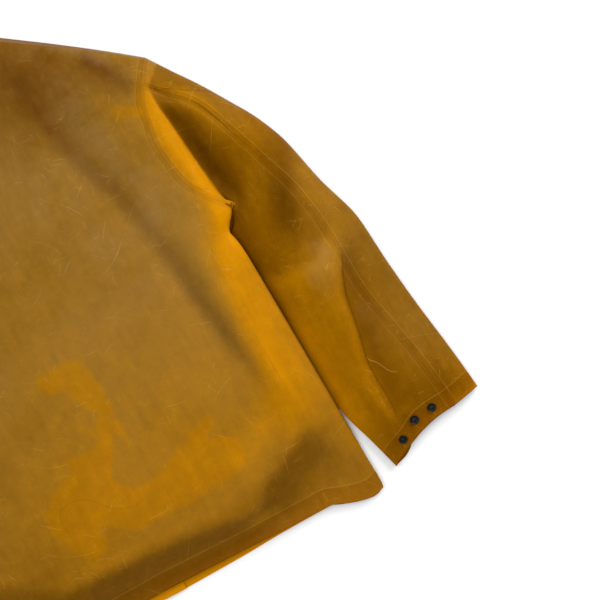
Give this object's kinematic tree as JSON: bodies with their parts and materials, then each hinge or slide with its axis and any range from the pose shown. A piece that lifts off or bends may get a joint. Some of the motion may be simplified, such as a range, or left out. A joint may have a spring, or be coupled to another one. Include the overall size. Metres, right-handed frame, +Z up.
{
  "type": "long jacket of smooth coated cloth, laid on its front",
  "caption": "A long smooth coated jacket, laid face down, with its sleeves along its sides, a stand collar and snaps at the cuffs.",
  "frame": {"origin": "below the middle of the laid jacket's bounding box, on the surface that it lies on", "axes": "+Z up, out of the back; +Y from the hem to the collar; +X to the wearer's right"},
  "size_m": [0.9748, 0.8703, 0.05],
  "materials": {
    "coated_cloth": "satin",
    "snap_cap": "satin"
  },
  "bodies": {
    "root": {"back": "coated_cloth", "front_right": "coated_cloth", "front_left": "coated_cloth", "collar": "coated_cloth", "sleeve_right_under": "coated_cloth", "sleeve_right_upper": "coated_cloth", "sleeve_left_under": "coated_cloth", "sleeve_left_upper": "coated_cloth", "snap_right_1": "snap_cap", "snap_right_2": "snap_cap", "snap_right_3": "snap_cap", "snap_left_1": "snap_cap", "snap_left_2": "snap_cap", "snap_left_3": "snap_cap"}
  },
  "joints": []
}
